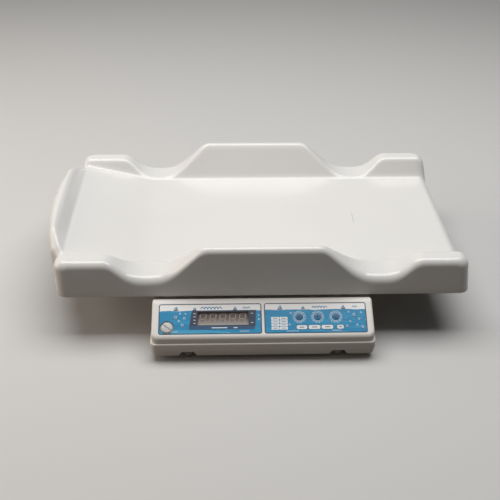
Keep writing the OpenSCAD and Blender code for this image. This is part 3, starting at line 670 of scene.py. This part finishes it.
navy_ink = ink("screen_ink_navy", ("041a30", "08294a"))
white_ink = ink("screen_ink_white", ("e2e6e8", "f0f1f1"))
teal_ink = ink("screen_ink_teal", ("1779a8", "2389b8"))
mid_ink = ink("screen_ink_mid_navy", ("063c62", "0a4a74"))


def layer(index):
    """Lower and upper height of a coat of ink, counted from the film."""
    return index * INK, (index + 1) * INK


# Navy border of each label, then the display's bezel with its shaded foot
navy = bmesh.new()
for low, high in ((-LABEL_EDGE, -LABEL_GAP), (LABEL_GAP, LABEL_EDGE)):
    ribbon(navy, rounded((low + 0.7, 0.7), (high - 0.7, LABEL_TOP - 0.7), 2.6), 1.2, *layer(1), closed=True)
bezel = bmesh.new()
foot_band = [(-94.9, 12.2), (-94.9, 7.6), (-93.8, 6.4), (-12.2, 6.4), (-11.2, 7.4), (-10, 11)]
prism(bezel, foot_band, *layer(2))
bezel_edge = [(-94.4, 12), (-10, 10.8), (-8.8, 32.2), (-9.6, 33), (-90.8, 32.9), (-91.6, 32.1)]
hole = [(wx0, wy0), (wx1, wy0), (wx1, wy1), (wx0, wy1)]
frame_strips = [[bezel_edge[0], bezel_edge[1], hole[1], hole[0]],
                [bezel_edge[1], bezel_edge[2], bezel_edge[3], hole[2], hole[1]],
                [bezel_edge[3], bezel_edge[4], hole[3], hole[2]],
                [bezel_edge[4], bezel_edge[5], bezel_edge[0], hole[0], hole[3]]]
for strip_outline in frame_strips:
    prism(navy, strip_outline, *layer(3))
piece("print_bezel_foot", bezel, mid_ink, "base", panel)

# White marks beside the display, one for each lamp, and a rule under it
white = bmesh.new()
for v in (28.6, 24.2, 19.6, 15.2):
    prism(white, rounded((-89.4, v - 0.35), (-86.4, v + 0.35), 0.3, 3), *layer(4))
for v in (28.4, 15.4):
    prism(white, rounded((-15.6, v - 0.35), (-12.6, v + 0.35), 0.3, 3), *layer(4))
for u0, u1 in ((-66, -46), (-38, -33)):
    prism(white, rounded((u0, 8.2), (u1, 9.4), 0.55, 4), *layer(4))

# Bubbles: rings and dots that rise through the water
BUBBLES = [(-112, 24, 1.7), (-106.5, 29, 1.0), (-108, 18.5, 0.8), (-101, 22.5, 1.2), (-103.5, 13, 1.6),
           (-99.5, 28.5, 0.7), (-5.6, 26, 0.7), (-5.2, 20, 1.0), (36, 28, 1.1), (34, 12, 0.8),
           (108, 9.5, 1.3), (112.5, 16, 0.9), (118, 25, 1.7), (124, 19, 1.1), (127, 28, 0.8),
           (121, 11, 1.0), (128, 8, 1.5), (111, 29, 0.9)]
for u, v, r in BUBBLES:
    ribbon(white, arc((u, v), r, 0, 345, 16), 0.5, *layer(2))
    if r >= 1.3:
        ribbon(navy, arc((u, v), r + 0.8, 200, 380, 16), 0.7, *layer(3))

# Little boats with a hull and a sail on the horizon, and waves beside them
HULL = [(-2.6, 0.9), (-1.7, -0.2), (1.9, -0.2), (3.0, 0.9)]
SAILS = [[(0.1, 1.3), (2.3, 1.3), (0.1, 5.0)], [(-0.3, 1.3), (-0.3, 4.2), (-1.9, 1.3)]]
WATERLINE = HORIZON + 0.6
teal = bmesh.new()
for u, size in ((-112, 1.25), (-88, 1.0), (-36, 1.1), (22, 1.3), (52, 1.0), (104, 1.2)):
    for coat, outline in ((navy, HULL), (teal, SAILS[0]), (teal, SAILS[1])):
        prism(coat, [(u + x * size, WATERLINE + y * size) for x, y in outline], *layer(3))


def wave(start, count, v, pitch, height):
    """A line of small round waves."""
    points = []
    for k in range(count * 8 + 1):
        points.append((start + pitch * k / 8, v + height * abs(math.sin(math.pi * k / 8))))
    return points


for start, count, v, size in ((-80, 6, 35.0, 1.4), (-26, 3, 35.2, 1), (64, 5, 35.0, 1.2), (116, 2, 35.2, 1)):
    ribbon(teal, wave(start, count, v, 3.2 * size, 1.8 * size), 0.8 * size, *layer(2))
for start, count, v in ((-118, 3, 3.4), (-30, 4, 3.2), (30, 5, 2.6), (88, 4, 3.0)):
    ribbon(white, wave(start, count, v, 3.0, 1.0), 0.4, *layer(2))

# Sun rays round the keys, blank pills under them and a blank table beside them
for u, v in KEY_SPOTS:
    ribbon(white, arc((u, v), KEY_RADIUS + 0.9, 0, 360, 48)[:-1], 0.5, *layer(2), closed=True)
    for k in range(24):
        a = math.radians(15 * k)
        inner, outer = 6.5, 8.9 if k % 2 else 8.1
        ribbon(white, [(u + inner * math.cos(a), v + inner * math.sin(a)),
                       (u + outer * math.cos(a), v + outer * math.sin(a))], 0.6, *layer(2))
for u0, u1 in ((42.5, 56.6), (57.9, 73.6), (74.6, 90.1), (94.6, 103.6)):
    pill = rounded((u0, 5.3), (u1, 11.3), 2.4, 6)
    prism(white, pill, *layer(2))
    ribbon(navy, pill, 0.5, *layer(3), closed=True)
    inner = (u1 - u0) * 0.28
    prism(navy, rounded((u0 + inner, 7.8), (u1 - inner, 8.8), 0.45, 4), *layer(4))
TABLE_LOW, TABLE_HIGH, TABLE_ROWS = (10.5, 5.0), (31.5, 23.0), 4
row_height = (TABLE_HIGH[1] - TABLE_LOW[1]) / TABLE_ROWS
table_half = (TABLE_LOW[0] + TABLE_HIGH[0]) / 2
for row in range(TABLE_ROWS):
    v0 = TABLE_LOW[1] + row * row_height + 0.3
    for u0, u1 in ((TABLE_LOW[0], table_half - 0.3), (table_half + 0.3, TABLE_HIGH[0])):
        prism(white, rounded((u0, v0), (u1, v0 + row_height - 0.6), 0.7, 4), *layer(2))
        prism(navy, rounded((u0 + 2.2, v0 + 1.6), (u1 - 2.2, v0 + 2.3), 0.3, 3), *layer(3))
# Painted shadow: a dark navy ring printed round the plug's seat stands in for the shade in the gap round the
# plug
ribbon(navy, arc(PLUG_SPOT, PLUG_RADIUS + 1.6, 0, 360, 64)[:-1], 0.7, *layer(3), closed=True)
# The navy print also carries the painted shadow round the plug's seat
piece("print_navy_and_painted_shadow", navy, navy_ink, "base", panel)
piece("print_white", white, white_ink, "base", panel)
piece("print_teal", teal, teal_ink, "base", panel)


# ---------------------------------------------------------------------------------------------
# Keys
# Three low round ABS keys that stand half a millimetre out of the label and press a switch
# through a plunger. Each has a plain sign printed in navy: a ring, an arrow and two bars.
# ---------------------------------------------------------------------------------------------

KEY_TOP = 0.5

# Moulded blue ABS with a satin top, rubbed paler in patches by fingertips
blue_abs = mottled("abs_moulded_blue_satin", {"IOR": 1.54}, ("04608c", "0a76a4"),
                   patch_mm=5, grain_mm=0.8, relief_mm=0.006, rough=(0.28, 0.4))
# Moulded natural nylon plungers: cream, waxy
natural_nylon = mottled("nylon_moulded_natural", {"IOR": 1.53}, ("cfc7b2", "ddd6c4"),
                        patch_mm=4, grain_mm=0.6, relief_mm=0.01, rough=(0.38, 0.5))


def lathe(mesh, profile, spot=(0, 0), steps=64):
    """Adds a turned solid: profile is (radius, height) from the axis below to the axis above."""
    rings = []
    for radius, height in profile:
        if radius < 1e-6:
            rings.append([mesh.verts.new((spot[0], spot[1], height))])
        else:
            ring = arc(spot, radius, 0, 360, steps)[:-1]
            rings.append([mesh.verts.new((x, y, height)) for x, y in ring])
    for ring, following in zip(rings, rings[1:]):
        for k in range(steps):
            m = (k + 1) % steps
            corners = [ring[k % len(ring)], ring[m % len(ring)],
                       following[m % len(following)], following[k % len(following)]]
            mesh.faces.new(list(dict.fromkeys(corners)))


key_profile = softened([(0, -6.6), (1.6, -6.6), (1.6, -3.7), (6.2, -3.7), (6.2, -CASE_WALL),
                        (KEY_RADIUS, -CASE_WALL), (KEY_RADIUS, KEY_TOP), (0, KEY_TOP)],
                       [0.3, 0.3, 0.2, 0.2, 0.2, 0.45])
signs = {1: "ring", 2: "arrow", 3: "bars"}
for k, (u, v) in enumerate(KEY_SPOTS, 1):
    body = f"key_{k}"
    cap = bmesh.new()
    lathe(cap, key_profile, (u, v))
    cap_piece = piece(f"key_cap_moulded_{k}", cap, blue_abs, body, panel)
    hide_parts(f"key_cap_{k}")
    sign = bmesh.new()
    low, high = KEY_TOP - INK, KEY_TOP + 3 * INK
    if signs[k] == "ring":
        ribbon(sign, arc((u, v), 1.9, 0, 360, 32)[:-1], 1.3, low, high, closed=True)
    elif signs[k] == "arrow":
        prism(sign, [(u, v + 2.6), (u - 2.3, v - 0.2), (u + 2.3, v - 0.2)], low, high)
        shaft = [(u - 0.5, v - 0.2), (u - 0.5, v - 2.4), (u + 0.5, v - 2.4), (u + 0.5, v - 0.2)]
        prism(sign, shaft, low, high)
    else:
        for side in (-1.3, 1.3):
            prism(sign, rounded((u + side - 0.55, v - 2.3), (u + side + 0.55, v + 2.3), 0.4, 4), low, high)
    piece(f"key_sign_{k}", sign, navy_ink, body, panel)
    dress(natural_nylon, f"key_plunger_{k}")


# ---------------------------------------------------------------------------------------------
# Slotted plug
# A moulded plug closes the adjusting hole at the console's left corner. It turns a quarter with
# a coin in its slot; its domed top is satin pale grey.
# ---------------------------------------------------------------------------------------------

# Moulded acetal with a metallic-grey pigment: pale, satin, slightly streaked
grey_acetal = mottled("acetal_moulded_silver_grey", {"IOR": 1.48}, ("c4c5c3", "d9dad8"),
                      patch_mm=7, grain_mm=0.8, relief_mm=0.008, rough=(0.26, 0.36))
PLUG_TOP, SLOT_ANGLE, SLOT_WIDTH = 0.8, math.radians(-38), 1.8
plug = bmesh.new()
lathe(plug, softened([(0, -9.5), (4.1, -9.5), (4.1, -1.6), (PLUG_RADIUS, -1.6),
                      (PLUG_RADIUS, PLUG_TOP), (0, PLUG_TOP)], [0.6, 0.2, 0.3, 0.9]), steps=96)
plug_place = panel @ Matrix.Translation((*PLUG_SPOT, 0))
seal_plug = piece("seal_plug_moulded", plug, grey_acetal, "plug", plug_place)
slot = bmesh.new()
prism(slot, rounded((-PLUG_RADIUS - 1, -SLOT_WIDTH / 2), (PLUG_RADIUS + 1, SLOT_WIDTH / 2), 0.2, 2), -0.4, 2)
carve(seal_plug, slot, plug_place @ Matrix.Rotation(SLOT_ANGLE, 4, "Z"))
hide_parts("seal_plug")


# ---------------------------------------------------------------------------------------------
# Platform
# A four-armed spider, cast in aluminium, is screwed to the free end of the beam. Rubber buttons
# at its arm ends carry the tray.
# ---------------------------------------------------------------------------------------------

# Die-cast aluminium: grey with a dull, slightly pitted skin and flow marks
cast_aluminium = mottled("aluminium_die_cast", {"Metallic": 1.0}, ("8f9294", "acafb1"),
                         patch_mm=30, grain_mm=1.4, relief_mm=0.05, rough=(0.42, 0.6))
# Moulded nitrile rubber: nearly black, dull, dusty in patches
nitrile_rubber = mottled("nitrile_rubber_moulded_black", {"IOR": 1.52}, ("1b1b1c", "2b2a2a"),
                         patch_mm=9, grain_mm=0.8, relief_mm=0.03, rough=(0.62, 0.8))
dress(cast_aluminium, "platform_spider")
dress(zinc_screw, "platform_screws")
dress(nitrile_rubber, "platform_pads")


# ---------------------------------------------------------------------------------------------
# Tray
# One sheet of glossy white ABS, formed over a mould: a cradle with a guard and two end blocks on
# each side, dips between them, a bowed head wall with a ramp, an open foot end and a deep skirt.
# ---------------------------------------------------------------------------------------------

SKIRT_Z, SKIRT_SKIN, SHEET_SKIN = 62.0, 3.5, 4.0
RIM_ROUND, ROUND_GAIN, END_ROUND, END_REACH = 8.0, 0.09, 12.0, 34.0
FLOOR_RISE, GUARD_RISE, BLOCK_RISE, DIP_RISE, CREST_RISE = 23.0, 69.0, 50.0, 25.0, 63.0
TRAY_CORNER = 14.0
GUARD_HALF, BLOCK_HALF, DIP_MIDDLE, RIM_SHIFT = 103.0, 185.5, 152.5, 1.5
GUARD_SLOPE, BLOCK_SLOPE, SIDE_SLOPE, HEAD_SLOPE, CREST_SLOPE = 0.9, 0.84, 1.47, 1.57, 0.62
SHOULDER, GUARD_FOOT, BLOCK_FOOT, FLOOR_BLEND, WALL_BLEND, CREASE = 7.0, 18.0, 12.0, 8.0, 6.0, 2.0
SIDE_FOOT, HEAD_FACE_X, HEAD_FACE_RISE, CREST_HALF = 116.7, 262.5, 42.0, 86.0
BOW_HALF, BOW_EDGE, BOW_FADE, BOW_START, BOW_RUN = 150.0, 124.0, 14.0, 150.0, 85.0
RAMP_X, RAMP_ANGLE = 159.0, math.radians(10.3)


def rim_rise(x):
    """Height of the rim along a side: guard, dip and block."""
    s = np.abs(x - RIM_SHIFT)
    guard = soft_max(DIP_RISE, (GUARD_RISE + DIP_RISE) / 2 - GUARD_SLOPE * (s - GUARD_HALF), GUARD_FOOT)
    block = soft_max(DIP_RISE, (BLOCK_RISE + DIP_RISE) / 2 + BLOCK_SLOPE * (s - BLOCK_HALF), BLOCK_FOOT)
    return np.where(s < DIP_MIDDLE, soft_min(GUARD_RISE, guard, SHOULDER),
                    soft_min(BLOCK_RISE, block, SHOULDER))


def smooth(t):
    """Eases from 0 to 1, level at both ends."""
    t = np.clip(t, 0, 1)
    return t * t * (3 - 2 * t)


def bow_at(y):
    """How far the head wall bows outwards."""
    return HEAD_BOW * (1 - (y / BOW_HALF) ** 2) * smooth((BOW_EDGE - np.abs(y)) / BOW_FADE)


def sheet_rise(x, y):
    """Height of the sheet over the skirt's edge: the floor, the side walls and the head wall."""
    floor = soft_max(FLOOR_RISE, FLOOR_RISE - math.tan(RAMP_ANGLE) * (x + RAMP_X), CREASE)
    side = soft_min(rim_rise(x), FLOOR_RISE + SIDE_SLOPE * (np.abs(y) - SIDE_FOOT), WALL_BLEND)
    crest = soft_min(CREST_RISE, CREST_RISE - CREST_SLOPE * (np.abs(y) - CREST_HALF), SHOULDER)
    head = soft_min(crest, HEAD_FACE_RISE - HEAD_SLOPE * (x + HEAD_FACE_X), WALL_BLEND)
    return soft_max(soft_max(floor, head, CREASE), side, FLOOR_BLEND)


def round_at(x):
    """Radius of the rounding from the sheet to the skirt."""
    end = END_ROUND * smooth((np.abs(x) - TRAY_LENGTH / 2 + END_REACH) / (END_REACH - END_ROUND))
    return np.maximum(RIM_ROUND + ROUND_GAIN * (GUARD_RISE - rim_rise(x)), end)


def lean(x, z):
    """How much further out the leaning skirt is at a height, along X at the foot and along Y."""
    below = (SKIRT_Z + BLOCK_RISE - z) / BLOCK_RISE
    out_x = 1 + np.where(x > 0, FOOT_FLARE, 0) * below / (TRAY_LENGTH / 2)
    return out_x, 1 + SIDE_FLARE * below / (TRAY_WIDTH / 2)


def even(low, high, pitch):
    """Equal steps near a pitch, with a step on both limits."""
    return list(np.linspace(low, high, max(2, round((high - low) / pitch) + 1)))


# The grid is twice as fine over the head wall and where its bow fades out along Y
GRID, HEAD_FINE, FADE_FROM, FADE_TO = 2.6, 50, 92, 134
half_x, half_y = TRAY_LENGTH / 2, TRAY_WIDTH / 2
ends = edge_steps(END_ROUND, 12)[:-1]
stations = ([d - half_x for d in ends]
            + even(END_ROUND - half_x, HEAD_FINE - half_x, GRID / 2)[:-1]
            + even(HEAD_FINE - half_x, half_x - END_ROUND, GRID)
            + [half_x - d for d in reversed(ends)])
rows = ([d - half_y for d in ends] + even(END_ROUND - half_y, -FADE_TO, GRID)[:-1]
        + even(-FADE_TO, -FADE_FROM, GRID / 2)[:-1] + even(-FADE_FROM, FADE_FROM, GRID)[:-1]
        + even(FADE_FROM, FADE_TO, GRID / 2)[:-1] + even(FADE_TO, half_y - END_ROUND, GRID)
        + [half_y - d for d in reversed(ends)])
sheets = []
for skin, thick in ((0, 0), (SKIRT_SKIN, SHEET_SKIN)):
    x, y, gap = plan_grid(stations, rows, half_x, half_y, TRAY_CORNER, skin)
    rounding = round_at(x) - skin
    x = x - bow_at(y) * smooth((-x - BOW_START) / BOW_RUN)
    z = SKIRT_Z + sheet_rise(x, y) - thick - edge_drop(gap, rounding)
    out_x, out_y = lean(x, z)
    sheets.append((x * out_x, y * out_y, z))


def skirt_at(point, height):
    """A point of the rim, taken down the leaning skirt."""
    top_x, top_y = lean(point.x, point.z)
    low_x, low_y = lean(point.x, height)
    return point.x / top_x * low_x, point.y / top_y * low_y


tray_skirt = [(SKIRT_Z + 6, 0), (SKIRT_Z + 1.0, 0), (SKIRT_Z + 0.35, 0.08), (SKIRT_Z, 0.3),
              (SKIRT_Z, 0.75), (SKIRT_Z + 0.35, 0.95), (SKIRT_Z + 1, 1), (SKIRT_Z + 6, 1)]

# Formed ABS with a polished skin: cool glossy white, a very slight waviness in its reflections,
# fine rubbed patches, and one faint scuff across the floor near the foot end
SCUFF_AT, SCUFF_HALF, SCUFF_SHARE = (139.2, -2.5, 85.0), (0.8, 18.0), 0.35
glossy_abs, tree, shader, place = begin("abs_formed_glossy_white", {"IOR": 1.54})
tone = mixed(tree, noise(tree, place, 160, 2.0), "e3e1dd", "e9e8e5")
millimetres = add(tree, "Mapping", {"Scale": (1000, 1000, 1000)}, {"Vector": place})
shifted = add(tree, "Mapping", {"Location": -(middle @ Vector(SCUFF_AT))},
              {"Vector": millimetres.outputs[0]})
scuff_axes = add(tree, "SeparateXYZ", {}, {"Vector": shifted.outputs[0]})
marks = []
for axis, half in zip("XY", SCUFF_HALF):
    far = add(tree, "Math", {"operation": "ABSOLUTE"}, {0: scuff_axes.outputs[axis]})
    marks.append(ranged(tree, far.outputs[0], 0, 1, half, half / 2))
scuff = add(tree, "Math", {"operation": "MULTIPLY"}, {0: marks[0], 1: marks[1]})
scuff_share = add(tree, "Math", {"operation": "MULTIPLY", 1: SCUFF_SHARE}, {0: scuff.outputs[0]})
feed(tree, shader, mixed(tree, scuff_share.outputs[0], tone, "8f8b86"),
     ranged(tree, noise(tree, place, 22, 5.0), 0.13, 0.24, 0.35, 0.75), noise(tree, place, 35, 1.0), 0.12)

tray = piece("tray_formed", shell(*sheets, tray_skirt, skirt_at), glossy_abs, "tray")
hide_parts("tray")
dress(glossy_abs, "tray_sockets")


# ---------------------------------------------------------------------------------------------
# Floor, light and camera
# A pale studio floor, a large soft lamp overhead and behind, a warm one low on the left, and
# the camera that took the picture from the console side, a metre away and above.
# ---------------------------------------------------------------------------------------------

def seen_rays(tree):
    """1 for the rays that show a surface directly, mirrored or through a lens, and 0 for its light."""
    path = add(tree, "LightPath", {})
    mirrored = add(tree, "Math", {"operation": "MAXIMUM"},
                   {0: path.outputs["Is Glossy Ray"], 1: path.outputs["Is Transmission Ray"]})
    shown = add(tree, "Math", {"operation": "MAXIMUM"},
                {0: path.outputs["Is Camera Ray"], 1: mirrored.outputs[0]})
    return shown.outputs[0]


floor_mesh = bmesh.new()
bmesh.ops.create_grid(floor_mesh, x_segments=4, y_segments=4, size=6.0)
floor_data = bpy.data.meshes.new("studio_floor")
floor_mesh.to_mesh(floor_data)
floor_mesh.free()
floor = bpy.data.objects.new("studio_floor", floor_data)
bpy.context.scene.collection.objects.link(floor)
# Matt paper: pale grey to the eye, and darker to the light that it throws back on the object
paper_floor = mottled("paper_floor_pale_grey", {"Specular IOR Level": 0.2}, ("cdccca", "d0cfcd"),
                      patch_mm=900, grain_mm=3, relief_mm=0.01, rough=(0.75, 0.85))
tree = paper_floor.node_tree
base_colour = tree.nodes["Principled BSDF"].inputs["Base Color"]
toned = base_colour.links[0].from_socket
tree.links.new(mixed(tree, seen_rays(tree), "655d55", toned), base_colour)
floor_data.materials.append(paper_floor)
floor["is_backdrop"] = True


def softbox(name, spot, aim, size, watts, hex_colour):
    """A rectangular studio lamp at a spot in metres, turned to an aim."""
    lamp = bpy.data.lights.new(name, "AREA")
    lamp.shape = "RECTANGLE"
    lamp.size, lamp.size_y = size
    lamp.energy = watts
    lamp.color = linear(hex_colour)[:3]
    made = bpy.data.objects.new(name, lamp)
    made.location = spot
    made.rotation_euler = (Vector(aim) - Vector(spot)).to_track_quat("-Z", "Y").to_euler()
    bpy.context.scene.collection.objects.link(made)


softbox("overhead_softbox", (0.05, 0.26, 1.75), (0.03, 0.0, 0.0), (2.3, 1.0), 33, "ffffff")
softbox("left_softbox", (-1.6, -0.05, 0.68), (-0.2, -0.15, 0.0), (1.6, 1.1), 12, "fff1e2")

# The room: a dim fill, shown as a pale backdrop to the camera and in reflections
world = bpy.data.worlds.new("studio")
world.use_nodes = True
tree = world.node_tree
room = tree.nodes["Background"]
room.inputs["Color"].default_value = linear("ffffff")
tree.links.new(ranged(tree, seen_rays(tree), 0.055, 0.4), room.inputs["Strength"])
bpy.context.scene.world = world

CAMERA_AT = Vector((-0.0426, -1.00665, 0.6994))
YAW, PITCH, ROLL = (math.radians(a) for a in (2.25, 32.97, 0.70))
FOCAL_PIXELS, FRAME_PIXELS, SENSOR = 825.0, 500.0, 36.0
ahead = Vector((math.sin(YAW) * math.cos(PITCH), math.cos(YAW) * math.cos(PITCH), -math.sin(PITCH)))
level = Vector((math.cos(YAW), -math.sin(YAW), 0))
upright = level.cross(ahead)
right = math.cos(ROLL) * level + math.sin(ROLL) * upright
up = math.cos(ROLL) * upright - math.sin(ROLL) * level
lens = bpy.data.cameras.new("photo_camera")
lens.sensor_width = SENSOR
lens.lens = FOCAL_PIXELS / FRAME_PIXELS * SENSOR
camera = bpy.data.objects.new("photo_camera", lens)
camera.matrix_world = Matrix.Translation(CAMERA_AT) @ Matrix((right, up, -ahead)).transposed().to_4x4()
bpy.context.scene.collection.objects.link(camera)
bpy.context.scene.camera = camera
bpy.context.scene.view_settings.view_transform = "Standard"

low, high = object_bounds()
